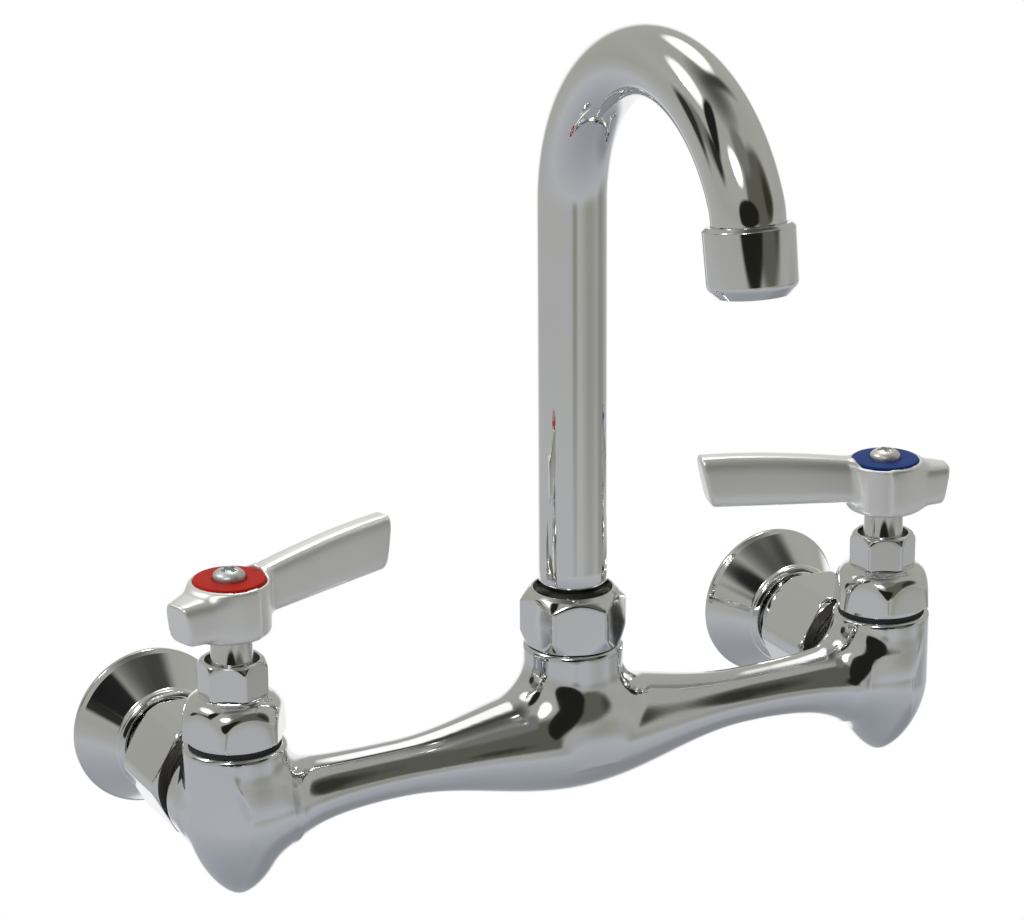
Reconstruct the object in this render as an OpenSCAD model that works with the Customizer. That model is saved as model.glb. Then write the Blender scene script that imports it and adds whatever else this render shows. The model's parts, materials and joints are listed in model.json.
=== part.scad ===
// Commercial wall faucet: a bridge body with two lever valves and a swivelling gooseneck spout.
// The origin is midway between the two inlets, in the plane of the wall, on the inlets' axis.
// X runs from the hot valve to the cold one, Y into the wall and Z up. Lengths are millimetres.

/* [Layout] */
// Distance between the two valve axes
centres = 203.2; // [190:0.1:230]
// Distance from the valve axes to the wall
reach = 61; // [57:0.5:80]
// Angle of the closed levers behind the line that joins the valves, in degrees
lever_back = 16; // [0:1:30]
// Turn of every hexagon about its own axis, in degrees
hex_turn = -6; // [-30:1:30]

/* [Body casting] */
// Wall of a valve barrel round its chamber
barrel_wall = 4.9; // [4:0.1:6]
// Height of a barrel's top above the inlet axis
barrel_top = 17; // [16:0.1:19]
// Depth of the straight part of a barrel below the inlet axis
barrel_drop = 5; // [3:0.5:8]
// Depth of a barrel's pointed bottom below the inlet axis
tip_drop = 26.6; // [24:0.1:32]
// Radius of the bridge at its waists
bar_r = 7.9; // [7:0.1:9]
// Radius of the bridge in the middle
bar_mid_r = 15.5; // [14:0.1:18]
// Length from the middle over which the bridge swells
bulge_len = 55; // [45:1:65]
// Extra radius of the bridge where it meets a barrel
flare_rise = 3.9; // [2:0.1:4.5]
// Length of that flare
flare_len = 28; // [20:1:35]
// Radius of the round boss under the spout nut
boss_r = 13.8; // [12.6:0.1:14.5]
// Height of that boss above the inlet axis
boss_top = 26.5; // [25:0.5:30]
// Radius of the waterway along the bridge
waterway_r = 4.2; // [3:0.1:4.8]

/* [Inlets] */
// Radius of the waterway through an inlet
inlet_bore_r = 6.5; // [5.8:0.1:7]
// Radius of the casting's inlet boss
inlet_boss_r = 14.8; // [14.2:0.1:15.5]
// Distance from the valve axis to the end of that boss
inlet_boss_len = 15.3; // [14:0.1:17]
// Length of the threaded port beyond the boss
port_len = 14.7; // [13:0.1:16]
// Radius of the inlet shank's tube
shank_r = 9.3; // [9:0.1:9.6]
// Wall of the threaded port round its waterway
port_wall = 5.4; // [5:0.05:5.6]
// Wall of a coupling nut at its flats, outside the thread
coupling_wall = 3.5; // [3:0.1:4]
// Length of a coupling nut
coupling_len = 22; // [21:0.5:24]
// Radius of the female pipe thread that the supply screws into
pipe_thread_r = 9.15; // [9:0.05:9.5]
// Wall between that thread's end and the shank's shoulder
thread_floor = 2.45; // [2:0.05:4]
// Radius of the shank's socket round the pipe thread
socket_r = 12.5; // [12:0.1:13]

/* [Wall flanges] */
// Radius of a flange at the wall
flange_r = 22.45; // [20:0.05:26]
// Radius of a flange's rounded front lip
flange_lip_r = 14.5; // [13.8:0.1:15.5]
// Radius of the opening in a flange's front
flange_hole_r = 11.5; // [11:0.1:11.8]
// Clear space between a coupling nut and the lip of its flange
flange_gap = 7.1; // [6:0.1:8]
// Wall of a flange
flange_wall = 1.5; // [1:0.1:2]

/* [Valves] */
// Radius of the stem where it shows
stem_r = 5.6; // [5:0.05:6]
// Radius of the stem's lifting thread
stem_thread_r = 6.5; // [6.2:0.1:7]
// Length of the stem's lifting thread
stem_thread_len = 9; // [8:0.5:9.5]
// Rise of the stem from closed to open
lift = 1.2; // [0.8:0.1:1.5]
// Height of stem that shows between packing nut and lever
stem_show = 7.3; // [6:0.1:12]
// Wall of the bonnet's sleeve round the stem's thread
sleeve_wall = 2.4; // [2.2:0.1:3]
// Thickness of the bonnet gasket
gasket_t = 1.4; // [1:0.1:2]
// Width of the bonnet's hexagon across its flats
bonnet_af = 25.6; // [24.8:0.1:28]
// Height of the straight part of the bonnet's hexagon
bonnet_hex_h = 7; // [6:0.1:8]
// Height of the bonnet's domed shoulder
bonnet_dome_h = 4.6; // [4:0.1:6]
// Radial thickness of the stem packing
packing_w = 1.1; // [1:0.05:1.4]
// Height of the stem packing
packing_h = 7.9; // [6:0.1:9]
// Wall of the packing nut at its flats, outside the thread
packing_nut_wall = 1.3; // [1.2:0.1:2]
// Thickness of the packing nut's top
packing_nut_top = 3.5; // [3:0.1:5]
// Radius of the seat's bore
seat_bore_r = 3.8; // [3.4:0.1:4]
// Radius of the seat washer
washer_r = 5.8; // [5.4:0.1:6]
// Thickness of the seat washer
washer_t = 2.6; // [2:0.1:3]

/* [Levers] */
// Length of the blade from the stem axis
blade_len = 53.4; // [45:0.1:70]
// Length of the tail from the stem axis
tail_len = 17.8; // [14:0.1:20]
// Radius of the hub
hub_r = 10.7; // [10:0.1:11.5]
// Height of the hub
hub_h = 14; // [12.5:0.1:15]
// Half width of the blade at its tip
blade_w = 4.4; // [4:0.1:5]
// Rise of the blade's top from hub to tip
blade_rise = 5.6; // [2:0.1:8]
// Radius of the coloured index ring
index_r = 9.6; // [9:0.1:9.7]
// Radius of the lever screw's head
screw_head_r = 4.3; // [3.8:0.1:4.6]
// Height of the lever screw's head
screw_head_h = 4.4; // [3:0.1:5]

/* [Spout] */
// Radius of the gooseneck tube
tube_r = 9.4; // [9.2:0.05:9.8]
// Wall of the gooseneck tube
tube_wall = 1.2; // [1:0.05:1.5]
// Height of the bend's centre above the inlet axis
riser_top = 150.3; // [120:0.1:200]
// Radius of the bend
bend_r = 45.5; // [40:0.5:60]
// Turn of the bend, in degrees
bend_turn = 155; // [140:1:165]
// Radius of the tighter bend at the outlet
nose_r = 15; // [13:0.5:20]
// Turn of that tighter bend, in degrees
nose_turn = 16; // [5:1:20]
// Wall of the spout nut at its flats, outside the thread
spout_nut_wall = 2.5; // [2:0.05:3]
// Radius of the spout sleeve that turns in the body
sleeve_r = 8.95; // [8.8:0.05:9.1]
// Length of that sleeve below its collar
sleeve_len = 20.2; // [18:0.1:21]

/* [Aerator] */
// Radius of the aerator's shell
aerator_r = 11.6; // [10.8:0.1:13]
// Length of the aerator's shell
aerator_len = 17.6; // [17:0.1:20]
// Radius of the aerator's outlet
outlet_r = 7.8; // [7:0.1:8.4]

/* [Fits] */
// Radial clearance of threads and turning parts
fit = 0.05; // [0.02:0.01:0.08]
// End clearance between stacked parts
end_gap = 0.1; // [0.05:0.01:0.15]

/* [Hidden] */
$fn = 64;
// How far a cut runs past the face that it opens
cut = 1;
hot = -1;
cold = 1;

// Radii that follow from the stem outward
thread_bore_r = stem_thread_r + fit;
chamber_r = thread_bore_r + sleeve_wall + fit;
barrel_r = chamber_r + barrel_wall;
box_r = stem_r + packing_w + 2 * fit;
bonnet_neck_wall = 0.6;
bonnet_neck_r = box_r + bonnet_neck_wall;
packing_nut_af = 2 * (bonnet_neck_r + fit + packing_nut_wall);

// Body casting
bar_drop = 0.5;
bar_steps = 56;
bar_half = centres / 2 - barrel_r / 2;
flare_end = barrel_r;
neck_shoulder = 0.8;
heel_root = 3;
heel_start = 12.5;
heel_len = 29;
heel_steps = 12;
heel_r = 7.3;
heel_rise = 5.9;
heel_drop = 1.6;
boss_foot_r = 15.2;
boss_foot_z = 14.5;
boss_foot_top = 20.5;
barrel_edge = 1.5;
hex_edge = 0.8;

// Seat and washer, from the web of the barrel upward
passage_r = 4.5;
passage_z = -1.7;
crossover_r = 3.3;
web_rise = 0.2;
web_t = 3.6;
web_floor = passage_z + passage_r + web_rise;
web_top = web_floor + web_t;
seat_r = 6.05;
seat_flange_r = 7.4;
seat_flange_t = 1.2;
seat_crown_w = 0.9;
seat_crown_h = 0.7;
seat_top = web_top + seat_flange_t + seat_crown_h;
lower_chamber_r = 6.8;
lower_chamber_z = -14;
washer_z = seat_top + end_gap;
holder_z = washer_z + washer_t;
holder_t = 1.6;
holder_wall = 0.7;
holder_skirt = 1.6;
holder_stub_r = 2.6;
holder_stub_h = 3.2;
seat_screw_r = 1.5;
seat_screw_head_r = 3;
seat_screw_head_h = 1.3;
seat_screw_len = 5.5;
stem_z = holder_z + holder_t + end_gap;

// Bonnet and packing, from the top of the barrel upward
bonnet_foot_gap = 0.5;
collar_step = 1.1;
bonnet_collar_r = 12.6;
bonnet_z = holder_z + holder_t + lift + bonnet_foot_gap;
bonnet_seat_z = barrel_top + gasket_t;
hex_z = bonnet_seat_z + collar_step;
dome_z = hex_z + bonnet_hex_h;
neck_z = dome_z + bonnet_dome_h;
lift_room = 0.8;
thread_top = stem_z + stem_thread_len + lift + lift_room;
box_sink = 4;
box_z = neck_z - box_sink;
packing_top = box_z + packing_h;
gland_h = 2.2;
gland_bury = 1.2;
gland_top = packing_top + gland_h;
packing_nut_z = neck_z + end_gap;
packing_nut_ceiling = gland_top + end_gap;
packing_nut_end = packing_nut_ceiling + packing_nut_top;
gasket_r = 12.4;
nut_chamfer_h = 2.2;
nut_crown_r = 6.9;

// Lever, from the bottom of its hub upward
hub_z = packing_nut_end + stem_show;
hub_top = hub_z + hub_h;
hub_round = 1.4;
hub_lip = 0.4;
index_bury = 0.8;
index_t = 1.6;
index_floor = hub_top - index_bury;
index_hole_r = screw_head_r + 2 * end_gap;
drive_w = 7.2;
drive_h = 8.5;
lever_screw_r = 2;
lever_screw_hole_r = 2.2;
lever_screw_len = 11;
cross_w = 0.9;
cross_len = 4.6;
cross_depth = 1.4;
blade_root_drop = 0.4;
blade_under = 2.5;
blade_under_rise = 2;
blade_root_w = 4.3;
blade_round = 1.4;
tail_w = 5.4;
tail_root_w = 9.8;
tail_slope = 2.2;
tail_under = 0.8;
channel_w = 4.2;
channel_start = 15;
channel_end_gap = 7;
channel_depth = 5;

// Union at each inlet, measured from the valve axis towards the wall
port_r = inlet_bore_r + port_wall;
port_end = inlet_boss_len + port_len;
inlet_round = 3;
inlet_drop = 2.2;
inlet_root_r = 12.5;
inlet_root_len = 7;
coupling_gap = 0.6;
coupling_start = inlet_boss_len + coupling_gap;
coupling_end = coupling_start + coupling_len;
coupling_lip = 3.3;
coupling_af = 2 * (port_r + fit + coupling_wall);
coupling_chamfer = 1.1;
coupling_corner_r = 17;
coupling_turn = 2;
union_washer_t = 1.5;
shank_start = port_end + union_washer_t + end_gap;
ring_t = 1.7;
ring_depth = 0.7;
ring_r = port_r - 2 * end_gap;
ring_end = coupling_end - coupling_lip - end_gap;
ring_slit = 1.6;
flange_start = coupling_end + flange_gap;
shoulder_start = flange_start + flange_wall + fit;
thread_start = shoulder_start + thread_floor;
flange_lip_round = 1.5;
flange_edge = 1.2;

// Spout swivel, from the boss upward
spout_bore_r = sleeve_r + fit;
body_neck_wall = 2.2;
body_neck_r = spout_bore_r + body_neck_wall;
body_neck_h = 8.7;
body_neck_top = boss_top + body_neck_h;
slip_t = 1;
collar_z = body_neck_top + slip_t;
collar_h = 2.2;
collar_r = body_neck_r - 4 * end_gap;
collar_top = collar_z + collar_h;
sleeve_bore_r = 6.6;
spigot_h = 6.5;
o_ring_section = 0.8;
o_ring_seat_r = sleeve_r - 2 * o_ring_section;
o_ring_zs = [collar_z - 0.85 * sleeve_len, collar_z - 0.35 * sleeve_len];
socket_gap = 2;
socket_floor = collar_z - sleeve_len - socket_gap;
mix_r = 6;
spout_nut_af = 2 * (body_neck_r + fit + spout_nut_wall);
spout_nut_z = boss_top + 3 * end_gap;
spout_nut_ceiling = collar_top + end_gap;
spout_nut_lip = 4;
spout_nut_top = spout_nut_ceiling + spout_nut_lip;
spout_nut_crown_r = 9.9;
spout_nut_foot_r = boss_r + 2 * end_gap;
spout_nut_foot_h = 4.2;

// Outlet end of the tube
outlet_turn = bend_turn + nose_turn;
bend_y = -reach - bend_r;
nose_y = bend_y + (bend_r - nose_r) * cos(bend_turn);
nose_z = riser_top + (bend_r - nose_r) * sin(bend_turn);
outlet_y = nose_y + nose_r * cos(outlet_turn);
outlet_z = nose_z + nose_r * sin(outlet_turn);
tail_tube_len = 10.7;
tube_sides = 40;
bend_steps = 26;
nose_steps = 3;
aerator_start = 1.3;
aerator_round = 2.6;
aerator_lip_t = 1.2;
aerator_edge = 0.9;
aerator_bore_r = tube_r + fit;
aerator_end = aerator_start + aerator_len;
screen_t = 0.6;
screen_z = aerator_end - aerator_lip_t - screen_t - end_gap;
screen_pitch = 2.2;
screen_hole_r = 0.75;
insert_plate_t = 1;
insert_wall = 1.2;
insert_hole_r = 0.6;
aerator_washer_t = 1.4;
aerator_washer_z = tail_tube_len + end_gap;
insert_z = aerator_washer_z + aerator_washer_t + end_gap;

// Proportions: they carry no length
ogive_power = 1.5;
ogive_roundness = 0.6;
blade_taper_share = 0.14;
blade_power = 0.55;
tip_lean_share = 0.26;

// Places and frames

module at_valve(side) {
    translate([side * centres / 2, -reach, 0]) mirror([side > 0 ? 1 : 0, 0, 0]) children();
}

// A frame whose Z runs from the valve axis into the wall
module at_inlet(side) {
    translate([side * centres / 2, -reach, 0]) rotate([-90, 0, 0]) children();
}

module at_lever(side) {
    at_valve(side) rotate([0, 0, lever_back]) children();
}

module at_spout() {
    translate([0, -reach, 0]) children();
}

// A frame whose Z runs out of the tube's end
module at_outlet() {
    translate([0, outlet_y, outlet_z]) rotate([outlet_turn, 0, 0]) children();
}

// A frame whose Z runs along the bridge, centred on it
module along_bridge() {
    translate([0, -reach, -bar_drop]) rotate([0, 90, 0]) children();
}

// Shapes that repeat

module tube(outer, inner, low, high) {
    translate([0, 0, low]) difference() {
        cylinder(r = outer, h = high - low);
        translate([0, 0, -cut]) cylinder(r = inner, h = high - low + 2 * cut);
    }
}

module bore(r, low, high) {
    translate([0, 0, low]) cylinder(r = r, h = high - low);
}

module hexagon(across_flats, low, high, turn = hex_turn) {
    translate([0, 0, low]) rotate([0, 0, turn])
        cylinder(r = across_flats / sqrt(3), h = high - low, $fn = 6);
}

// Points of a quarter circle of radius r about c, from one angle to another
function arc(c, r, from, to, steps = 6) =
    [for (i = [0:steps]) let (a = from + (to - from) * i / steps) [c[0] + r * cos(a), c[1] + r * sin(a)]];

module revolve(points) {
    rotate_extrude() polygon(points);
}

// A solid through a list of rings that all have the same number of points
module loft(rings) {
    n = len(rings[0]);
    m = len(rings);
    sides = [
        for (i = [0:m - 2], k = [0:n - 1])
            let (a = i * n + k, b = i * n + (k + 1) % n)
                each [[a, a + n, b + n], [a, b + n, b]]
    ];
    first = [for (k = [0:n - 1]) k];
    last = [for (k = [n - 1:-1:0]) (m - 1) * n + k];
    polyhedron([for (r = rings) each r], concat([first], sides, [last]));
}

// Body casting modules

function bulge(d) = (bar_mid_r - bar_r) * (1 + cos(180 * min(d / bulge_len, 1))) / 2;
function flare(d) =
    flare_rise * pow(max(0, min(1, (d - (centres / 2 - flare_end - flare_len)) / flare_len)), 2);
function bar_radius(d) = bar_r + bulge(d) + flare(d);

module bridge() {
    side = [
        for (i = [0:bar_steps])
            let (x = -bar_half + 2 * bar_half * i / bar_steps) [bar_radius(abs(x)), x]
    ];
    along_bridge() revolve(concat([[0, -bar_half]], side, [[0, bar_half]]));
}

function ogive_radius(t) = barrel_r * pow(1 - pow(t, ogive_power), ogive_roundness);

module barrel() {
    steps = 16;
    point = [
        for (i = [0:steps])
            let (t = sin(90 * i / steps)) [ogive_radius(t), -barrel_drop - (tip_drop - barrel_drop) * t]
    ];
    top = [[0, barrel_top], [barrel_r - barrel_edge, barrel_top], [barrel_r, barrel_top - barrel_edge]];
    revolve(concat(top, point));
}

// Heel that carries the underside of the bridge into a barrel
module heel() {
    from = heel_start;
    to = heel_start + heel_len;
    side = [
        for (i = [0:heel_steps])
            let (d = from + heel_len * i / heel_steps) [heel_r + heel_rise * pow((to - d) / heel_len, 2), d]
    ];
    start = [[0, heel_root], [heel_r + heel_rise, heel_root]];
    translate([0, 0, -heel_drop]) rotate([0, 90, 0]) revolve(concat(start, side, [[0, to]]));
}

module inlet_boss() {
    nose = arc([inlet_boss_r - inlet_round, inlet_boss_len - inlet_round], inlet_round, 0, 90);
    translate([0, inlet_drop, 0])
        revolve(concat([[0, 0], [inlet_root_r, 0], [inlet_boss_r, inlet_root_len]], nose,
            [[0, inlet_boss_len]]));
    bore(port_r, 0, port_end);
}

module spout_boss() {
    revolve([
        [0, 0], [boss_r, 0], [boss_foot_r, boss_foot_z], [boss_r, boss_foot_top], [boss_r, boss_top],
        [body_neck_r, boss_top], [body_neck_r, body_neck_top], [0, body_neck_top]
    ]);
}

module barrel_waterway() {
    bore(chamber_r, web_top, barrel_top + cut);
    bore(seat_r + fit, web_floor - cut, web_top + cut);
    bore(lower_chamber_r, lower_chamber_z, web_floor);
    // Crossover from the chamber down into the bridge
    run = barrel_r + passage_r;
    rise = web_top + passage_r + bar_drop;
    translate([run, 0, -bar_drop]) rotate([0, -atan2(run, rise), 0])
        cylinder(r = crossover_r, h = norm([run, rise]));
}

module inlet_waterway() {
    bore(inlet_bore_r, barrel_r, port_end + cut);
    translate([0, -passage_z, 0]) bore(passage_r, 0, barrel_r + cut);
}

module faucet_body() {
    color("silver") difference() {
        union() {
            bridge();
            at_spout() spout_boss();
            for (side = [hot, cold]) {
                at_valve(side) barrel();
                at_valve(side) heel();
                at_inlet(side) inlet_boss();
            }
        }
        at_spout() bore(spout_bore_r, socket_floor, body_neck_top + cut);
        at_spout() bore(mix_r, 0, socket_floor + cut);
        along_bridge() translate([0, 0, -centres / 2 + barrel_r + passage_r])
            cylinder(r = waterway_r, h = centres - 2 * (barrel_r + passage_r));
        for (side = [hot, cold]) {
            at_valve(side) barrel_waterway();
            at_inlet(side) inlet_waterway();
        }
    }
}

// Valve pieces, drawn for the hot side; the cold side is their mirror image

module valve_seat() {
    color("goldenrod") difference() {
        union() {
            bore(seat_r, web_floor, web_top);
            bore(seat_flange_r, web_top, web_top + seat_flange_t);
            bore(seat_bore_r + seat_crown_w, web_top, seat_top);
        }
        bore(seat_bore_r, web_floor - cut, seat_top + cut);
    }
}

module seat_washer() {
    color("dimgray") tube(washer_r, seat_screw_r + fit, washer_z, holder_z);
}

module washer_holder() {
    cup_r = washer_r + 2 * fit;
    color("goldenrod") difference() {
        union() {
            bore(cup_r + holder_wall, holder_z - holder_skirt, holder_z + holder_t);
            bore(holder_stub_r, holder_z, holder_z + holder_t + holder_stub_h);
        }
        bore(cup_r, holder_z - holder_skirt - cut, holder_z);
        bore(seat_screw_r + fit, holder_z - cut, washer_z + seat_screw_len + end_gap);
    }
}

module seat_screw() {
    color("silver") {
        bore(seat_screw_head_r, washer_z - seat_screw_head_h, washer_z);
        bore(seat_screw_r, washer_z, washer_z + seat_screw_len);
    }
}

module stem() {
    drive_top = hub_z + drive_h;
    color("lightgray") difference() {
        union() {
            bore(stem_thread_r, stem_z, stem_z + stem_thread_len);
            bore(stem_r, stem_z + stem_thread_len, hub_z);
            translate([-drive_w / 2, -drive_w / 2, hub_z]) cube([drive_w, drive_w, drive_h]);
        }
        bore(holder_stub_r + fit, stem_z - cut, stem_z + holder_stub_h + end_gap);
        bore(lever_screw_r + fit, index_floor - lever_screw_len - end_gap, drive_top + cut);
    }
}

module bonnet() {
    corner_r = bonnet_af / 2 + barrel_edge;
    shoulder_r = bonnet_neck_r + packing_nut_wall + neck_shoulder;
    steps = 8;
    // A dome that starts upright at the hexagon and ends hollow under the packing nut
    dome = [
        for (i = [0:steps])
            let (s = i / steps)
                [corner_r + (shoulder_r - corner_r) * (1 - cos(180 * s)) / 2 * s
                    + (shoulder_r - corner_r) * s * (1 - s), dome_z + bonnet_dome_h * s]
    ];
    skin = concat([[0, hex_z], [corner_r - hex_edge, hex_z], [corner_r, hex_z + hex_edge]], dome);
    color("silver") difference() {
        union() {
            intersection() {
                hexagon(bonnet_af, hex_z, neck_z);
                revolve(concat(skin, [[0, neck_z]]));
            }
            bore(chamber_r - fit, bonnet_z, bonnet_seat_z);
            bore(bonnet_collar_r, bonnet_seat_z, hex_z);
            bore(bonnet_neck_r, neck_z, packing_top + gland_bury);
        }
        bore(thread_bore_r, bonnet_z - cut, thread_top);
        bore(stem_r + fit, thread_top - cut, box_z + cut);
        bore(box_r, box_z, packing_top + gland_bury + cut);
    }
}

module bonnet_gasket() {
    color("black") tube(gasket_r, chamber_r + fit, barrel_top, bonnet_seat_z);
}

module packing() {
    color("dimgray") tube(box_r - fit, stem_r + fit, box_z, packing_top);
}

module gland() {
    color("goldenrod") tube(box_r - fit, stem_r + fit, packing_top, gland_top);
}

module packing_nut() {
    corner_r = packing_nut_af / sqrt(3) - end_gap;
    crown = [[corner_r, packing_nut_end - nut_chamfer_h], [nut_crown_r, packing_nut_end]];
    color("silver") difference() {
        intersection() {
            hexagon(packing_nut_af, packing_nut_z, packing_nut_end);
            revolve(concat([[0, packing_nut_z], [corner_r, packing_nut_z]], crown, [[0, packing_nut_end]]));
        }
        bore(bonnet_neck_r + fit, packing_nut_z - cut, packing_nut_ceiling);
        bore(stem_r + fit, packing_nut_z, packing_nut_end + cut);
    }
}

// Lever pieces: the blade runs along X before the lever is turned back

function signed_power(v, p) = sign(v) * pow(abs(v), p);

// One closed section across the lever: half width w, from height low to high, leaning forward at the top
function lever_ring(x, w, low, high, lean) = [
    for (k = [0:23])
        let (a = 15 * k, c = signed_power(cos(a), blade_power), s = signed_power(sin(a), blade_power),
             half = (high - low) / 2)
            [x + lean * half * s, w * c * (1 - blade_taper_share * s), low + half + half * s]
];

// Shrinkage of a section near a rounded end that lies at distance e
function end_inset(e, r) = e >= r ? 0 : r - sqrt(max(0, r * r - pow(r - e, 2)));

function blade_ring(x) =
    let (s = x / blade_len, i = end_inset(blade_len - x, blade_round) * (1 - blade_taper_share))
        lever_ring(x, blade_root_w + (blade_w - blade_root_w) * s - i,
            hub_z + blade_under + blade_under_rise * s + i,
            hub_top - blade_root_drop + blade_rise * sin(90 * s) - i, tip_lean_share * s);

function tail_ring(x) =
    let (s = x / tail_len, i = end_inset(tail_len - x, blade_round) * (1 - blade_taper_share))
        lever_ring(-x, tail_root_w + (tail_w - tail_root_w) * s - i,
            hub_z + tail_under * (1 + s) / 2 + i,
            hub_top - blade_root_drop - tail_slope * s * s - i, -tip_lean_share * s / 2);

module hub() {
    foot = arc([hub_r - hub_round, hub_z + hub_round], hub_round, -90, 0);
    top = [[hub_r, hub_top - hub_lip], [hub_r - hub_lip, hub_top], [0, hub_top]];
    revolve(concat([[0, hub_z]], foot, top));
}

module lever() {
    steps = 12;
    round_steps = 5;
    straight = blade_len - blade_round;
    tail_straight = tail_len - blade_round;
    blade_xs = [
        for (i = [0:steps]) straight * i / steps,
        for (i = [1:round_steps]) straight + blade_round * sin(90 * i / round_steps)
    ];
    tail_xs = [
        for (i = [round_steps:-1:1]) tail_straight + blade_round * sin(90 * i / round_steps),
        for (i = [4:-1:0]) tail_straight * i / 4
    ];
    color("silver") difference() {
        union() {
            hub();
            loft([for (x = tail_xs) tail_ring(x)]);
            loft([for (x = blade_xs) blade_ring(x)]);
        }
        translate([0, 0, hub_z - cut])
            linear_extrude(drive_h + end_gap + cut) square(drive_w + 2 * fit, center = true);
        bore(lever_screw_hole_r, hub_z, hub_top + cut);
        bore(index_r + fit, index_floor, hub_top + blade_rise + cut);
        // Channel that lightens the underside of the blade
        hull() for (x = [channel_start, blade_len - channel_end_gap])
            translate([x, 0, hub_z - cut])
                cylinder(r = channel_w / 2, h = blade_under + channel_depth + cut, $fn = 32);
    }
}

module index_ring(side) {
    color(side == hot ? "orangered" : "royalblue")
        tube(index_r, index_hole_r, index_floor, index_floor + index_t);
}

module lever_screw() {
    head_top = index_floor + screw_head_h;
    rim_h = screw_head_h / 2;
    dome = arc([0, 0], 1, 0, 90);
    color("whitesmoke") difference() {
        union() {
            revolve(concat([[0, index_floor], [screw_head_r, index_floor]],
                [for (p = dome) [screw_head_r * p[0], index_floor + rim_h + rim_h * p[1]]]));
            bore(lever_screw_r, index_floor - lever_screw_len, index_floor);
        }
        for (turn = [0, 90]) rotate([0, 0, turn])
            translate([-cross_len / 2, -cross_w / 2, head_top - cross_depth])
                cube([cross_len, cross_w, cross_depth + cut]);
    }
}

// Inlet pieces: their Z runs from the valve axis into the wall

module coupling_nut() {
    corner_r = coupling_corner_r;
    end_r = corner_r - coupling_chamfer;
    skin = [
        [0, coupling_start], [end_r, coupling_start], [corner_r, coupling_start + coupling_chamfer / 2],
        [corner_r, coupling_end - coupling_chamfer / 2], [end_r, coupling_end], [0, coupling_end]
    ];
    color("silver") difference() {
        intersection() {
            hexagon(coupling_af, coupling_start, coupling_end, coupling_turn);
            revolve(skin);
        }
        bore(port_r + fit, coupling_start - cut, coupling_end - coupling_lip);
        bore(shank_r + fit, coupling_start, coupling_end + cut);
    }
}

module inlet_washer() {
    color("black") tube(port_r - 4 * fit, inlet_bore_r, port_end, port_end + union_washer_t);
}

module inlet_shank() {
    color("silver") difference() {
        union() {
            bore(shank_r, shank_start, shoulder_start);
            bore(socket_r, shoulder_start, reach);
        }
        bore(inlet_bore_r, shank_start - cut, thread_start + cut);
        bore(pipe_thread_r, thread_start, reach + cut);
        tube(shank_r + cut, shank_r - ring_depth, ring_end - ring_t - fit, ring_end + fit);
    }
}

module shank_ring() {
    color("gray") difference() {
        tube(ring_r, shank_r - ring_depth + fit, ring_end - ring_t, ring_end);
        translate([0, -ring_slit / 2, ring_end - ring_t - cut])
            cube([ring_r + cut, ring_slit, ring_t + 2 * cut]);
    }
}

module wall_flange() {
    lip = flange_lip_round;
    outer = concat(
        arc([flange_lip_r - lip, flange_start + lip], lip, -90, 0),
        [[flange_r, reach - flange_edge], [flange_r, reach]]
    );
    inner = [
        [flange_r - flange_wall, reach], [flange_r - flange_wall, reach - flange_edge],
        [flange_lip_r - flange_wall, flange_start + flange_wall],
        [flange_hole_r, flange_start + flange_wall], [flange_hole_r, flange_start]
    ];
    color("silver") revolve(concat(outer, inner));
}

// Spout pieces

module spout_nut() {
    corner_r = spout_nut_af / sqrt(3) - end_gap;
    skin = [
        [0, spout_nut_z], [spout_nut_foot_r, spout_nut_z], [corner_r, spout_nut_z + spout_nut_foot_h],
        [corner_r, spout_nut_top - spout_nut_lip], [spout_nut_crown_r, spout_nut_top], [0, spout_nut_top]
    ];
    color("silver") difference() {
        intersection() {
            hexagon(spout_nut_af, spout_nut_z, spout_nut_top);
            revolve(skin);
        }
        bore(body_neck_r + fit, spout_nut_z - cut, spout_nut_ceiling);
        bore(tube_r + 2 * fit, spout_nut_z, spout_nut_top + cut);
    }
}

module spout_washer() {
    color("ivory") tube(collar_r, spout_bore_r + fit, body_neck_top, collar_z);
}

module spout_sleeve() {
    groove_h = 3 * o_ring_section;
    color("goldenrod") difference() {
        union() {
            bore(sleeve_r, collar_z - sleeve_len, collar_z);
            bore(collar_r, collar_z, collar_top);
            bore(tube_r - tube_wall - fit, collar_top, collar_top + spigot_h);
        }
        bore(sleeve_bore_r, collar_z - sleeve_len - cut, collar_top + spigot_h + cut);
        for (z = o_ring_zs) tube(sleeve_r + cut, o_ring_seat_r - fit, z - groove_h / 2, z + groove_h / 2);
    }
}

module spout_o_rings() {
    color("black") for (z = o_ring_zs)
        translate([0, 0, z]) rotate_extrude() translate([sleeve_r - o_ring_section, 0]) circle(o_ring_section);
}

// Ring of radius r across the tube's path, where the path has turned by a
function path_ring(r, y, z, a) = [
    for (k = [0:tube_sides - 1])
        let (t = 360 * k / tube_sides)
            [r * cos(t), y + r * sin(t) * cos(a), z + r * sin(t) * sin(a)]
];

function path_rings(r, over) = [
    path_ring(r, -reach, collar_top - over, 0),
    for (i = [0:bend_steps])
        let (a = bend_turn * i / bend_steps)
            path_ring(r, bend_y + bend_r * cos(a), riser_top + bend_r * sin(a), a),
    for (i = [1:nose_steps])
        let (a = bend_turn + nose_turn * i / nose_steps)
            path_ring(r, nose_y + nose_r * cos(a), nose_z + nose_r * sin(a), a),
    path_ring(r, outlet_y - (tail_tube_len + over) * sin(outlet_turn),
        outlet_z + (tail_tube_len + over) * cos(outlet_turn), outlet_turn)
];

module spout_tube() {
    color("silver") difference() {
        loft(path_rings(tube_r, 0));
        loft(path_rings(tube_r - tube_wall, cut));
    }
}

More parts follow.
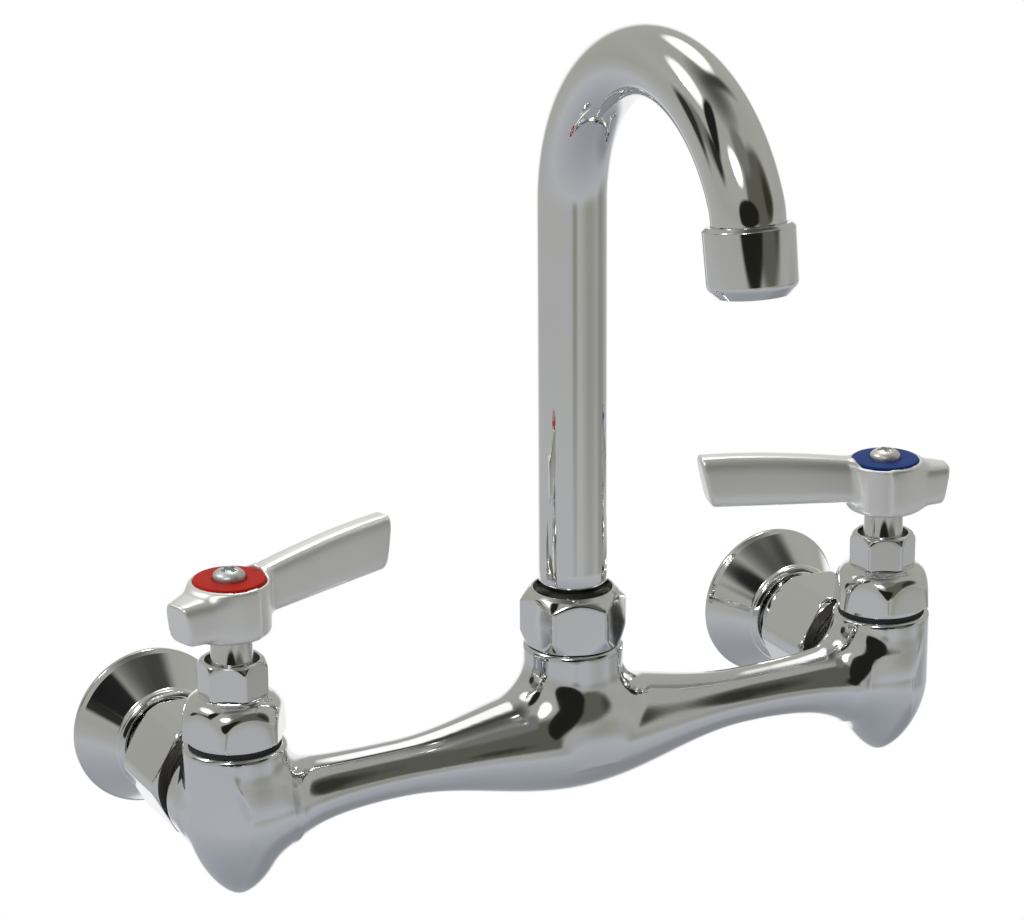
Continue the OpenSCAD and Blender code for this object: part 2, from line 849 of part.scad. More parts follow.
module aerator_shell() {
    round_end = arc([aerator_r - aerator_round, aerator_end - aerator_round], aerator_round, 0, 90);
    skin = concat([[0, aerator_start], [aerator_r - aerator_edge, aerator_start],
        [aerator_r, aerator_start + aerator_edge]], round_end, [[0, aerator_end]]);
    color("silver") difference() {
        revolve(skin);
        bore(aerator_bore_r, aerator_start - cut, aerator_end - aerator_lip_t);
        bore(outlet_r, aerator_start, aerator_end + cut);
    }
}

module aerator_washer() {
    color("black") tube(aerator_bore_r - 2 * fit, tube_r - 2 * tube_wall, aerator_washer_z,
        aerator_washer_z + aerator_washer_t);
}

// Centres of a hexagonal pattern of holes that stays within radius r
function hex_grid(pitch, r) = [
    for (i = [-6:6], j = [-6:6])
        let (p = [pitch * (i + j / 2), pitch * j * sqrt(3) / 2]) if (norm(p) <= r) p
];

module aerator_insert() {
    r = aerator_bore_r - 2 * fit;
    color("white") difference() {
        bore(r, insert_z, screen_z);
        bore(r - insert_wall, insert_z + insert_plate_t, screen_z + cut);
        for (p = hex_grid(2 * screen_pitch, r - 2 * insert_wall))
            translate(p) bore(insert_hole_r, insert_z - cut, insert_z + insert_plate_t + cut);
    }
}

module aerator_screen() {
    color("gray") difference() {
        bore(aerator_bore_r - 2 * fit, screen_z, screen_z + screen_t);
        for (p = hex_grid(screen_pitch, outlet_r - screen_pitch / 2))
            translate(p) bore(screen_hole_r, screen_z - cut, screen_z + screen_t + cut);
    }
}

faucet_body();

at_valve(hot) valve_seat();  // hot_valve_seat
at_valve(hot) seat_washer();  // hot_seat_washer
at_valve(hot) washer_holder();  // hot_washer_holder
at_valve(hot) seat_screw();  // hot_seat_screw
at_lever(hot) stem();  // hot_stem
at_valve(hot) bonnet();  // hot_bonnet
at_valve(hot) bonnet_gasket();  // hot_bonnet_gasket
at_valve(hot) packing();  // hot_packing
at_valve(hot) gland();  // hot_gland
at_valve(hot) packing_nut();  // hot_packing_nut
at_lever(hot) lever();  // hot_lever
at_lever(hot) index_ring(hot);  // hot_index_ring
at_lever(hot) lever_screw();  // hot_lever_screw
at_inlet(hot) coupling_nut();  // hot_coupling_nut
at_inlet(hot) inlet_washer();  // hot_inlet_washer
at_inlet(hot) inlet_shank();  // hot_inlet_shank
at_inlet(hot) shank_ring();  // hot_shank_ring
at_inlet(hot) wall_flange();  // hot_wall_flange

at_valve(cold) valve_seat();  // cold_valve_seat
at_valve(cold) seat_washer();  // cold_seat_washer
at_valve(cold) washer_holder();  // cold_washer_holder
at_valve(cold) seat_screw();  // cold_seat_screw
at_lever(cold) stem();  // cold_stem
at_valve(cold) bonnet();  // cold_bonnet
at_valve(cold) bonnet_gasket();  // cold_bonnet_gasket
at_valve(cold) packing();  // cold_packing
at_valve(cold) gland();  // cold_gland
at_valve(cold) packing_nut();  // cold_packing_nut
at_lever(cold) lever();  // cold_lever
at_lever(cold) index_ring(cold);  // cold_index_ring
at_lever(cold) lever_screw();  // cold_lever_screw
at_inlet(cold) coupling_nut();  // cold_coupling_nut
at_inlet(cold) inlet_washer();  // cold_inlet_washer
at_inlet(cold) inlet_shank();  // cold_inlet_shank
at_inlet(cold) shank_ring();  // cold_shank_ring
at_inlet(cold) wall_flange();  // cold_wall_flange

at_spout() spout_nut();
at_spout() spout_washer();
at_spout() spout_sleeve();
at_spout() spout_o_rings();
spout_tube();
at_outlet() aerator_shell();
at_outlet() aerator_washer();
at_outlet() aerator_insert();
at_outlet() aerator_screen();
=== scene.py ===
import json
import math

import bmesh
import bpy
import numpy as np
from mathutils import Matrix, Vector


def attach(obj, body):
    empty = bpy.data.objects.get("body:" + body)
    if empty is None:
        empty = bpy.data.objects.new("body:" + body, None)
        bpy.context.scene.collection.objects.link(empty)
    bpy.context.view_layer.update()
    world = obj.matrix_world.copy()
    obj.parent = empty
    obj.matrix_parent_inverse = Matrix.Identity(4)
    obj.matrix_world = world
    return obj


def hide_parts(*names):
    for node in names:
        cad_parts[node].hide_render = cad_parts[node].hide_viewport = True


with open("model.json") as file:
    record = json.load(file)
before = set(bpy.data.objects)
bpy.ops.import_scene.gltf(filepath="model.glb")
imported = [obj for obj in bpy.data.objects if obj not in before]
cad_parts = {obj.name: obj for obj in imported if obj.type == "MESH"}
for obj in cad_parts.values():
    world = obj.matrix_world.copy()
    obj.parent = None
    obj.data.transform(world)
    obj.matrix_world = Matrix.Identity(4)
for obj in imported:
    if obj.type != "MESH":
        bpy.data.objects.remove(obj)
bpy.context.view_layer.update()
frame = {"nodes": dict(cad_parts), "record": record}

# Sizes are in millimetres and angles in degrees
MM = 0.001
CENTRES = 203.2
REACH = 61.0
LEVER_BACK = 16.8
BONNET_TURN = -5.0
PACKING_NUT_TURN = 28.0
SPOUT_NUT_TURN = -21.0
COUPLING_TURN = 2.0
SIDES = {"hot": -1, "cold": 1}

# The camera, solved from points of the photograph, with its place in metres
CAMERA_AZIMUTH = -27.889
CAMERA_ELEVATION = 18.355
CAMERA_ROLL = -0.420
CAMERA_PLACE = (-0.4368, -0.8514, 0.3783)
CAMERA_LENS = 123.73
CAMERA_SENSOR = 36

# Shortest edge that gets a fillet
SHORT = 1e-9


# Camera

def aim_camera():
    turns = (CAMERA_AZIMUTH, CAMERA_ELEVATION, CAMERA_ROLL)
    az, el, roll = (math.radians(v) for v in turns)
    back = Vector((math.sin(az) * math.cos(el), -math.cos(az) * math.cos(el), math.sin(el)))
    level_right = Vector((math.cos(az), math.sin(az), 0))
    level_up = back.cross(level_right)
    right = math.cos(roll) * level_right + math.sin(roll) * level_up
    up = -math.sin(roll) * level_right + math.cos(roll) * level_up
    data = bpy.data.cameras.new("photo_camera")
    data.lens = CAMERA_LENS
    data.sensor_width = CAMERA_SENSOR
    data.sensor_fit = "HORIZONTAL"
    data.clip_start = 0.05
    data.clip_end = 30
    cam = bpy.data.objects.new("photo_camera", data)
    bpy.context.scene.collection.objects.link(cam)
    rows = [(right[i], up[i], back[i], CAMERA_PLACE[i]) for i in range(3)]
    cam.matrix_world = Matrix((*rows, (0, 0, 0, 1)))
    bpy.context.scene.camera = cam


# Meshes

def new_object(name, verts, faces, material, smooth=True):
    mesh = bpy.data.meshes.new(name)
    mesh.from_pydata([tuple(v) for v in verts], [], [tuple(f) for f in faces])
    mesh.materials.append(material)
    mesh.polygons.foreach_set("use_smooth", [smooth] * len(mesh.polygons))
    mesh.update()
    obj = bpy.data.objects.new(name, mesh)
    bpy.context.scene.collection.objects.link(obj)
    return obj


def valve_frame(side):
    """Points in a valve's own frame, whose X runs to the middle of the faucet, in the row frame."""
    def place(p):
        q = np.array(p, float)
        return np.stack([side * CENTRES / 2 - side * q[:, 0], q[:, 1] - REACH, q[:, 2]], 1) * MM
    return place


def lever_frame(side):
    """Points in a lever's own frame, whose X runs along the blade, in the row frame."""
    a = math.radians(LEVER_BACK)
    valve = valve_frame(side)

    def place(p):
        q = np.array(p, float)
        u, v = q[:, 0].copy(), q[:, 1].copy()
        q[:, 0] = u * math.cos(a) - v * math.sin(a)
        q[:, 1] = u * math.sin(a) + v * math.cos(a)
        return valve(q)
    return place


def inlet_frame(side):
    """Points in an inlet's own frame, whose Z runs from the valve axis to the wall, in the row frame."""
    def place(p):
        q = np.array(p, float)
        return np.stack([side * CENTRES / 2 + q[:, 0], q[:, 2] - REACH, -q[:, 1]], 1) * MM
    return place


def spout_frame(p):
    """Points in the spout's own frame, whose Z is the swivel's axis, in the row frame."""
    q = np.array(p, float)
    return np.stack([q[:, 0], q[:, 1] - REACH, q[:, 2]], 1) * MM


# The gooseneck: riser, bend, a tighter bend at the nose, and the straight tail
RISER_TOP = 150.3
TUBE_R = 9.4
TUBE_BORE_R = 8.2
BEND_R = 45.5
BEND_TURN = 155.0
NOSE_R = 15.0
NOSE_TURN = 16.0
COLLAR_TOP = 38.4
TAIL = 10.7
OUT_TURN = math.radians(BEND_TURN + NOSE_TURN)
BEND_Y = -REACH - BEND_R
NOSE_Y = BEND_Y + (BEND_R - NOSE_R) * math.cos(math.radians(BEND_TURN))
NOSE_Z = RISER_TOP + (BEND_R - NOSE_R) * math.sin(math.radians(BEND_TURN))
OUT_Y = NOSE_Y + NOSE_R * math.cos(OUT_TURN)
OUT_Z = NOSE_Z + NOSE_R * math.sin(OUT_TURN)


def outlet_frame(p):
    """Points in the outlet's own frame, whose Z runs out of the spout, in the row frame."""
    q = np.array(p, float)
    c, s = math.cos(OUT_TURN), math.sin(OUT_TURN)
    y = OUT_Y + q[:, 1] * c - q[:, 2] * s
    z = OUT_Z + q[:, 1] * s + q[:, 2] * c
    return np.stack([q[:, 0], y, z], 1) * MM


def outward(obj):
    """Turns a closed piece's faces outward."""
    bm = bmesh.new()
    bm.from_mesh(obj.data)
    bmesh.ops.recalc_face_normals(bm, faces=bm.faces)
    bm.to_mesh(obj.data)
    bm.free()
    obj.data.update()


def angle_between(a, b):
    return math.acos(max(-1, min(1, float(a @ b))))


def fillet(points, steps=6):
    """A closed outline of (r, z, rounding[, hexagonal]) with its corners rounded, densely sampled."""
    out = []
    n = len(points)
    for i, (r, z, radius, *flags) in enumerate(points):
        flag = flags[0] if flags else 0
        corner = np.array((r, z))
        u = np.array(points[i - 1][:2]) - corner
        v = np.array(points[(i + 1) % n][:2]) - corner
        u_length, v_length = np.linalg.norm(u), np.linalg.norm(v)
        if radius <= 0 or u_length < SHORT or v_length < SHORT:
            out.append((r, z, flag))
            continue
        u, v = u / u_length, v / v_length
        angle = angle_between(u, v)
        if angle > math.pi - 1e-3:
            out.append((r, z, flag))
            continue
        # A fillet takes at most half of the edge on each side
        cut = min(radius / math.tan(angle / 2), 0.49 * u_length, 0.49 * v_length)
        radius = cut * math.tan(angle / 2)
        middle = (u + v) / np.linalg.norm(u + v)
        centre = corner + middle * radius / math.sin(angle / 2)
        start, end = corner + u * cut - centre, corner + v * cut - centre
        sweep = angle_between(start / np.linalg.norm(start), end / np.linalg.norm(end))
        turn = 1 if start[0] * end[1] - start[1] * end[0] > 0 else -1
        for k in range(steps + 1):
            w = turn * sweep * k / steps
            c, s = math.cos(w), math.sin(w)
            arm = (start[0] * c - start[1] * s, start[0] * s + start[1] * c)
            out.append((centre[0] + arm[0], centre[1] + arm[1], flag))
    return out


def densify(outline, step):
    """The same closed outline with long edges cut up, so that a hexagon's edges stay crisp along it."""
    out = []
    n = len(outline)
    for i in range(n):
        p, q = outline[i], outline[(i + 1) % n]
        out.append(p)
        if p[2] or q[2]:
            length = math.hypot(q[0] - p[0], q[1] - p[1])
            cuts = int(length / step)
            for k in range(1, cuts):
                w = k / cuts
                out.append((p[0] + (q[0] - p[0]) * w, p[1] + (q[1] - p[1]) * w, 1))
    return out


def ring_faces(rings, segments):
    """Quads between rings of points, closed round each ring and from the last ring to the first."""
    faces = []
    for i in range(rings):
        j = (i + 1) % rings
        for k in range(segments):
            m = (k + 1) % segments
            faces.append((i * segments + k, i * segments + m, j * segments + m, j * segments + k))
    return faces


def hexagon_radii(ring, af, turn, edge):
    """The radius of a hexagon of width af across flats at each angle, its corners softened by edge."""
    side = math.pi / 3
    to_flat = ring[:, None] - math.radians(turn) - math.radians(30) - np.arange(6)[None, :] * side
    c = np.cos(to_flat)
    flat = np.where(c > 0.3, (af / 2) / np.maximum(c, 0.3), 1e3)
    return -edge * np.log(np.sum(np.exp(-np.minimum(flat, 60) / edge), axis=1))


def lathe(name, points, place, material, body, nodes, segments=128, af=0.0, turn=0.0, edge=0.35,
          painted_shade_span=None):
    """A closed outline turned about Z. Where a point is flagged, the hexagon of width af cuts the turned
    form. Inside the radius and between the heights of the last argument, a dark material paints shade."""
    outline = fillet(points)
    if af:
        outline = densify(outline, 0.5)
    ring = np.linspace(0, 2 * math.pi, segments, endpoint=False)
    hexagon = hexagon_radii(ring, af, turn, edge) if af else None
    verts = []
    for r, z, flag in outline:
        if flag and af:
            radii = -edge * np.log(np.exp(-hexagon / edge) + np.exp(-r / edge))
        else:
            radii = np.full(segments, r)
        verts.append(np.stack([radii * np.cos(ring), radii * np.sin(ring), np.full(segments, z)], 1))
    n = len(outline)
    obj = new_object(name, place(np.concatenate(verts)), ring_faces(n, segments), material)
    # Faces inside the given radius and heights take the dark material: painted shade in the recess
    if painted_shade_span:
        radius, low, high = painted_shade_span
        obj.data.materials.append(PAINTED_RECESS_SHADE)
        inner = [r < radius and low < z < high for r, z, flag in outline]
        marks = [int(inner[i] and inner[(i + 1) % n]) for i in range(n)]
        obj.data.polygons.foreach_set("material_index", np.repeat(marks, segments).tolist())
    outward(obj)
    dress(obj, body, nodes)


def dress(obj, body, nodes):
    """Fastens a piece to its body, in place of the plain solids of its nodes."""
    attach(obj, body)
    if nodes:
        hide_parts(*nodes)


# Implicit castings

def smooth_union(a, b, r):
    """Union of two distance fields with a fillet of radius r between them."""
    ra, rb = np.maximum(r - a, 0), np.maximum(r - b, 0)
    return np.maximum(r, np.minimum(a, b)) - np.hypot(ra, rb)


def smooth_cut(a, b, r):
    """Intersection of two distance fields with its edge rounded to radius r."""
    ra, rb = np.maximum(r + a, 0), np.maximum(r + b, 0)
    return np.minimum(-r, np.maximum(a, b)) + np.hypot(ra, rb)


def implicit(field, low, high, h, passes=4):
    """Vertices and quads of the surface field = 0, pulled onto the surface by Newton steps."""
    axes = [np.arange(low[i], high[i] + h, h) for i in range(3)]
    grid = np.stack(np.meshgrid(*axes, indexing="ij"), -1)
    f = field(grid.reshape(-1, 3)).reshape(grid.shape[:3])
    inside = f < 0
    n = np.array(f.shape) - 1
    total = np.zeros(n)
    point = np.zeros(tuple(n) + (3,))
    corners = [(i, j, k) for i in (0, 1) for j in (0, 1) for k in (0, 1)]

    def at(a, c):
        return a[c[0]:c[0] + n[0], c[1]:c[1] + n[1], c[2]:c[2] + n[2]]
    for p in corners:
        for axis in range(3):
            if p[axis]:
                continue
            q = list(p)
            q[axis] = 1
            fp, fq = at(f, p), at(f, q)
            cross = at(inside, p) != at(inside, q)
            t = np.where(cross, fp / np.where(cross, fp - fq, 1), 0)
            total += cross
            for d in range(3):
                point[..., d] += cross * (p[d] + (t if d == axis else 0))
    used = total > 0
    index = -np.ones(tuple(n), int)
    index[used] = np.arange(used.sum())
    base = np.stack(np.nonzero(used), 1)
    verts = np.array(low) + (base + point[used] / total[used][:, None]) * h
    faces = []
    for axis in range(3):
        b, c = [(1, 2), (2, 0), (0, 1)][axis]
        first = np.take(inside, range(0, f.shape[axis] - 1), axis)
        second = np.take(inside, range(1, f.shape[axis]), axis)
        cells = np.stack(np.nonzero(first != second), 1)
        keep = (cells[:, b] > 0) & (cells[:, c] > 0) & (cells[:, b] < n[b]) & (cells[:, c] < n[c])
        cells = cells[keep]
        flip = first[tuple(cells.T)]
        quad = []
        for db, dc in ((1, 1), (0, 1), (0, 0), (1, 0)):
            cell = cells.copy()
            cell[:, b] -= db
            cell[:, c] -= dc
            quad.append(index[tuple(cell.T)])
        quad = np.stack(quad, 1)
        quad[~flip] = quad[~flip][:, ::-1]
        faces.append(quad)
    faces = np.concatenate(faces)
    probe = 0.02
    moves = probe * np.eye(3)
    for _ in range(passes):
        slope = np.stack([field(verts + move) - field(verts - move) for move in moves], 1) / (2 * probe)
        step = (field(verts) / np.maximum((slope * slope).sum(1), 0.04))[:, None] * slope
        size = np.linalg.norm(step, axis=1, keepdims=True)
        # No point moves further than half a cell at a time
        verts = verts - step * np.minimum(1, 0.5 * h / np.maximum(size, SHORT))
    return verts, faces


# The casting's sizes, from the middle of the valve axes
BARREL_R = 13.9
BARREL_ROUNDNESS = 0.66
POINT_POWER = 1.8
POINT_START = -3.5
POINT_LEN = 23.1
BAR_R = 7.9
BAR_DROP = 0.5
BULGE = 7.8
BULGE_LEN = 55.0
BOSS_R = 13.8
BOSS_FLOOR = -4.0
INLET_R = 12.5
INLET_FLARE = 2.3
INLET_DROP = 2.2
INLET_LEN = 15.3
SPOUT_TOP = 26.5
BARREL_TOP = 17.0


def barrel_field(off, y, z):
    """A barrel that narrows to a rounded point below POINT_START."""
    r = np.maximum(np.hypot(off, y), 1e-6)
    t = np.clip((POINT_START - z) / POINT_LEN, 0, 1.6)
    power = 1 / BARREL_ROUNDNESS
    level = np.power(r / BARREL_R, power) + np.power(t, POINT_POWER) - 1
    slope_r = np.power(r / BARREL_R, power - 1) / BARREL_ROUNDNESS / BARREL_R
    slope_z = POINT_POWER * np.power(t, POINT_POWER - 1) / POINT_LEN
    return level / np.maximum(np.hypot(slope_r, slope_z), 0.02)


def bar_field(x, y, z, off):
    """The bar between the barrels. It bulges at the spout and flares at the valves, most on its underside."""
    inward = np.maximum(-off, 11.0)
    r = np.hypot(y, z + BAR_DROP)
    down = (1 - (z + BAR_DROP) / np.maximum(r, 1e-6)) / 2
    bulge = BULGE * (1 + np.cos(np.pi * np.minimum(np.abs(x) / BULGE_LEN, 1))) / 2
    top = np.maximum(0.5 * np.exp((26 - inward) / 7.3) - 0.1, 0)
    low = np.maximum(np.exp((32.3 - np.maximum(inward, 14.5)) / 9.5) - 0.35, 0)
    bar = r - (BAR_R + bulge + top + (low - top) * down ** 2)
    return np.maximum(bar, off)


def inlet_field(off, y, z):
    """The boss of an inlet, which leaves the barrel toward the wall."""
    flare = INLET_FLARE * np.clip(y / 7, 0, 1)
    inlet = np.hypot(off, z + INLET_DROP) - INLET_R - flare
    inlet = smooth_cut(inlet, y - INLET_LEN, 3.0)
    return np.maximum(inlet, -y)


def casting_field(p):
    """The bridge body, in millimetres from the middle of the valve axes."""
    x, y, z = p.T
    off = np.abs(x) - CENTRES / 2
    body = smooth_union(barrel_field(off, y, z), bar_field(x, y, z, off), 4.0 + 3.0 * np.clip(z / 8, 0, 1))
    body = smooth_union(body, inlet_field(off, y, z), 2.4)
    boss = np.maximum(np.hypot(x, y) - BOSS_R, BOSS_FLOOR - z)
    k = np.clip((z + 5) / 17, 0, 1)
    body = smooth_union(body, boss, 3.0 + 5.0 * k * k * (3 - 2 * k))
    body = smooth_cut(body, z - np.where(np.abs(x) < 50, SPOUT_TOP, BARREL_TOP), 1.1)
    neck = np.maximum(np.hypot(x, y) - 11.2, np.maximum(z - 35.2, 20 - z))
    port = np.maximum(np.hypot(off, z) - 11.9, np.maximum(y - 30, 10 - y))
    body = np.minimum(body, np.minimum(neck, port))
    chamber = np.maximum(np.hypot(off, y) - 9.0, 6.6 - z)
    way = np.maximum(np.hypot(off, z) - 6.5, 13.9 - y)
    socket = np.maximum(np.hypot(x, y) - 9.0, 14.2 - z)
    return np.maximum(body, -np.minimum(chamber, np.minimum(way, socket)))


# The lever's sizes, from its own axis and the inlet's height
HUB_R = 10.7
HUB_FOOT = 48.1
HUB_TOP = 62.1
BLADE_LEN = 53.3
TAIL_LEN = 17.6


def arm_field(s, v, z, half_w, low, high, lean, end, roundness, draft):
    """An arm along s with a rounded oblong section, narrower toward the top by its draft. Its end leans."""
    mid, half = (low + high) / 2, (high - low) / 2
    q = np.clip((z - mid) / half, -1.6, 1.6)
    width = half_w * (1 - draft * q)
    m = 4.0
    level = np.power(np.power(np.abs(v) / width, m) + np.power(np.abs(q), m), 1 / m) - 1
    return smooth_cut(level * np.minimum(width, half), s - (end + lean * q * half), roundness)


def lever_field(p):
    """A lever with its hub, blade and tail, and the pocket, square and hole of its hub."""
    u, v, z = p.T
    hub = smooth_cut(np.hypot(u, v) - HUB_R, HUB_FOOT - z, 1.4)
    hub = smooth_cut(hub, z - HUB_TOP, 0.5)
    k = np.clip(u / 53.4, 0, 1.1)
    blade_high = HUB_TOP + 5.0 * np.sin(np.pi / 2 * np.minimum(k, 1))
    blade = arm_field(u, v, z, 4.3 + 0.1 * k, 50.6 + 2.0 * k, blade_high, 0.24, BLADE_LEN, 1.2, 0.15)
    blade = np.maximum(blade, -u)
    k = np.clip(-u / 17.8, 0, 1.1)
    tail = arm_field(-u, v, z, 10.6 - 6.2 * k, 48.5 + 0.4 * k, 63.0 - 2.8 * k, 0.20, TAIL_LEN, 0.9, 0.04)
    tail = smooth_cut(np.maximum(tail, u), z - HUB_TOP, 0.5)
    lever = smooth_union(hub, smooth_union(blade, tail, 0.2), 2.2)
    # A channel under the blade, the index ring's pocket, the stem's square and the screw's hole
    channel = np.hypot(np.maximum(np.maximum(15 - u, u - 46.4), 0), v) - 2.1
    channel = np.maximum(channel, z - 55.6)
    lever = np.maximum(lever, -channel)
    pocket = np.maximum(np.hypot(u, v) - 9.65, 61.3 - z)
    socket = np.maximum(np.maximum(np.abs(u), np.abs(v)) - 3.65, z - 56.7)
    hole = np.hypot(u, v) - 2.2
    return np.maximum(lever, -np.minimum(pocket, np.minimum(socket, hole)))


def screw_field(p):
    """A lever screw: a domed head with a cross in it, and its shank."""
    u, v, z = p.T
    r = np.hypot(u, v)
    base, top, rim = 61.3, 65.7, 63.5
    dome = (np.hypot(r / 4.3, np.maximum(z - rim, 0) / (top - rim)) - 1) * 2.6
    head = smooth_cut(dome, base - z, 0.25)
    near, far = np.minimum(np.abs(u), np.abs(v)), np.maximum(np.abs(u), np.abs(v))
    slot_half = 0.55 + 0.25 * np.clip((z - 64.3) / 1.4, 0, 1)
    floor = 64.1 + 0.5 * (far - near) / 2.3
    cross = np.maximum(near - slot_half, np.maximum(far - 2.3, floor - z))
    head = smooth_cut(head, -cross, 0.15)
    shank = np.maximum(r - 2.0, np.maximum(z - 62.0, 50.3 - z))
    return np.minimum(head, shank)


# Materials

def material(name):
    """A new material with its node tree and shader."""
    mat = bpy.data.materials.new(name)
    mat.use_nodes = True
    tree = mat.node_tree
    shader = tree.nodes["Principled BSDF"]
    return mat, tree, shader


def link(tree, a, b):
    tree.links.new(a, b)


def add(tree, kind, **settings):
    """A new node of a kind, with the given settings."""
    node = tree.nodes.new("ShaderNode" + kind)
    for key, value in settings.items():
        setattr(node, key, value)
    return node


def noise(tree, scale, detail=3.0, rough=0.5):
    """A noise over the object's own space, from 0 to 1."""
    node = add(tree, "TexNoise")
    node.inputs["Scale"].default_value = scale
    node.inputs["Detail"].default_value = detail
    node.inputs["Roughness"].default_value = rough
    link(tree, add(tree, "TexCoord").outputs["Object"], node.inputs["Vector"])
    return node.outputs["Fac"]


def spread(tree, source, low, high):
    node = add(tree, "MapRange")
    node.inputs["To Min"].default_value = low
    node.inputs["To Max"].default_value = high
    link(tree, source, node.inputs["Value"])
    return node.outputs["Result"]


def bump(tree, shader, height, distance):
    node = add(tree, "Bump")
    node.inputs["Distance"].default_value = distance
    node.inputs["Strength"].default_value = 1.0
    link(tree, height, node.inputs["Height"])
    link(tree, node.outputs["Normal"], shader.inputs["Normal"])


def ramp_node(tree, source, stops):
    """A colour ramp over a source from 0 to 1, with stops of (position, colour)."""
    node = add(tree, "ValToRGB")
    elements = node.color_ramp.elements
    for element, (position, colour) in zip(elements, (stops[0], stops[-1])):
        element.position, element.color = position, (*colour, 1)
    for position, colour in stops[1:-1]:
        elements.new(position).color = (*colour, 1)
    link(tree, source, node.inputs["Fac"])
    return node.outputs["Color"]


def tint(tree, shader, source, colour_a, colour_b):
    link(tree, ramp_node(tree, source, [(0.35, colour_a), (0.65, colour_b)]), shader.inputs["Base Color"])


def shaded(colour, share):
    return tuple(c * share for c in colour)


def chrome(name, wave, low, high, colour, wave_scale, metallic=1.0):
    """Polished plate: mirror-like, with the slight waviness of a polished casting and faint wipe marks."""
    mat, tree, shader = material(name)
    shader.inputs["Metallic"].default_value = metallic
    link(tree, spread(tree, noise(tree, 55.0, 4.0, 0.6), low, high), shader.inputs["Roughness"])
    tint(tree, shader, noise(tree, 24.0, 2.0), shaded(colour, 0.965), colour)
    bump(tree, shader, noise(tree, wave_scale, 1.0, 0.3), wave)
    return mat


# Height of a surface's grain, in metres
GRAIN = 0.00002


def rough_surface(name, colour, rough, patch_scale, shade, grain_scale):
    """A fine-grained surface with slow patches of shade and roughness."""
    mat, tree, shader = material(name)
    patch = noise(tree, patch_scale, 4.0)
    link(tree, spread(tree, patch, *rough), shader.inputs["Roughness"])
    tint(tree, shader, patch, shaded(colour, shade), colour)
    bump(tree, shader, noise(tree, grain_scale, 2.0), GRAIN)
    return mat, shader


def metal(name, colour, rough_low, rough_high):
    mat, shader = rough_surface(name, colour, (rough_low, rough_high), 120.0, 0.85, 900.0)
    shader.inputs["Metallic"].default_value = 1.0
    return mat


def plain(name, colour, rough_low, rough_high, specular=0.5):
    mat, shader = rough_surface(name, colour, (rough_low, rough_high), 160.0, 0.88, 700.0)
    shader.inputs["Specular IOR Level"].default_value = specular
    return mat


CAST_CHROME = chrome("cast_chrome", 0.00022, 0.04, 0.10, (0.76, 0.77, 0.78), 30.0)
TUBE_CHROME = chrome("tube_chrome", 0.00004, 0.03, 0.07, (0.79, 0.79, 0.78), 22.0)
TURNED_CHROME = chrome("turned_chrome", 0.00006, 0.04, 0.09, (0.78, 0.785, 0.78), 40.0)
BRASS = metal("machined_brass", (0.78, 0.6, 0.32), 0.22, 0.38)
# Dark metal that paints the shade in the pits and gaps of the turned nuts
PAINTED_RECESS_SHADE = metal("painted_recess_shade", (0.10, 0.095, 0.085), 0.45, 0.6)
STEEL = metal("stainless_steel", (0.62, 0.62, 0.62), 0.25, 0.4)
RUBBER = plain("black_rubber", (0.022, 0.022, 0.024), 0.55, 0.75)
PACKING = plain("white_packing", (0.8, 0.79, 0.75), 0.45, 0.6)
INSERT = plain("moulded_insert", (0.8, 0.8, 0.78), 0.35, 0.5)
LEVER_CHROME = chrome("lever_chrome", 0.00012, 0.34, 0.44, (0.93, 0.93, 0.92), 34.0, 0.75)
RED = plain("hot_red", (0.60, 0.014, 0.003), 0.42, 0.54, 0.12)
BLUE = plain("cold_blue", (0.010, 0.055, 0.29), 0.42, 0.54, 0.12)
# One plated screw in two tones: the hot one darker, painted shade, and the cold one lighter, painted light
SCREW = {
    "hot": metal("hot_screw_shaded_plate", (0.70, 0.74, 0.74), 0.40, 0.50),
    "cold": metal("cold_screw_lit_plate", (0.88, 0.87, 0.82), 0.40, 0.50),
}

SLOT_MATERIALS = {
    "chrome": TURNED_CHROME, "brass": BRASS, "steel": STEEL, "rubber": RUBBER, "packing": PACKING,
    "insert_plastic": INSERT, "hot_red": RED, "cold_blue": BLUE,
}


def paint_nodes():
    """Gives each plain solid that still shows the material of its slot."""
    slots = {s["node"]: s["material_slot"] for s in frame["record"]["subparts"]}
    for name, obj in frame["nodes"].items():
        obj.data.materials.clear()
        obj.data.materials.append(SLOT_MATERIALS[slots[name]])


# Pieces

def make_casting():
    h = 0.7
    verts, faces = implicit(casting_field, (-117, -21, -28.3), (117, 31.3, 36.3), h)
    obj = new_object("body_casting", spout_frame(verts), faces, CAST_CHROME)
    outward(obj)
    dress(obj, "body", ["faucet_body"])


def make_levers():
    h = 0.45
    verts, faces = implicit(lever_field, (-21, -12, 46.5), (57, 12, 69), h)
    for name, side in SIDES.items():
        obj = new_object(name + "_lever_casting", lever_frame(side)(verts), faces, LEVER_CHROME)
        outward(obj)
        dress(obj, name + "_handle", [name + "_lever"])


def make_screws():
    h = 0.16
    verts, faces = implicit(screw_field, (-5, -5, 49.2), (5, 5, 66.6), h)
    for name, side in SIDES.items():
        obj = new_object(name + "_screw_cap", lever_frame(side)(verts), faces, SCREW[name])
        outward(obj)
        dress(obj, name + "_handle", [name + "_lever_screw"])


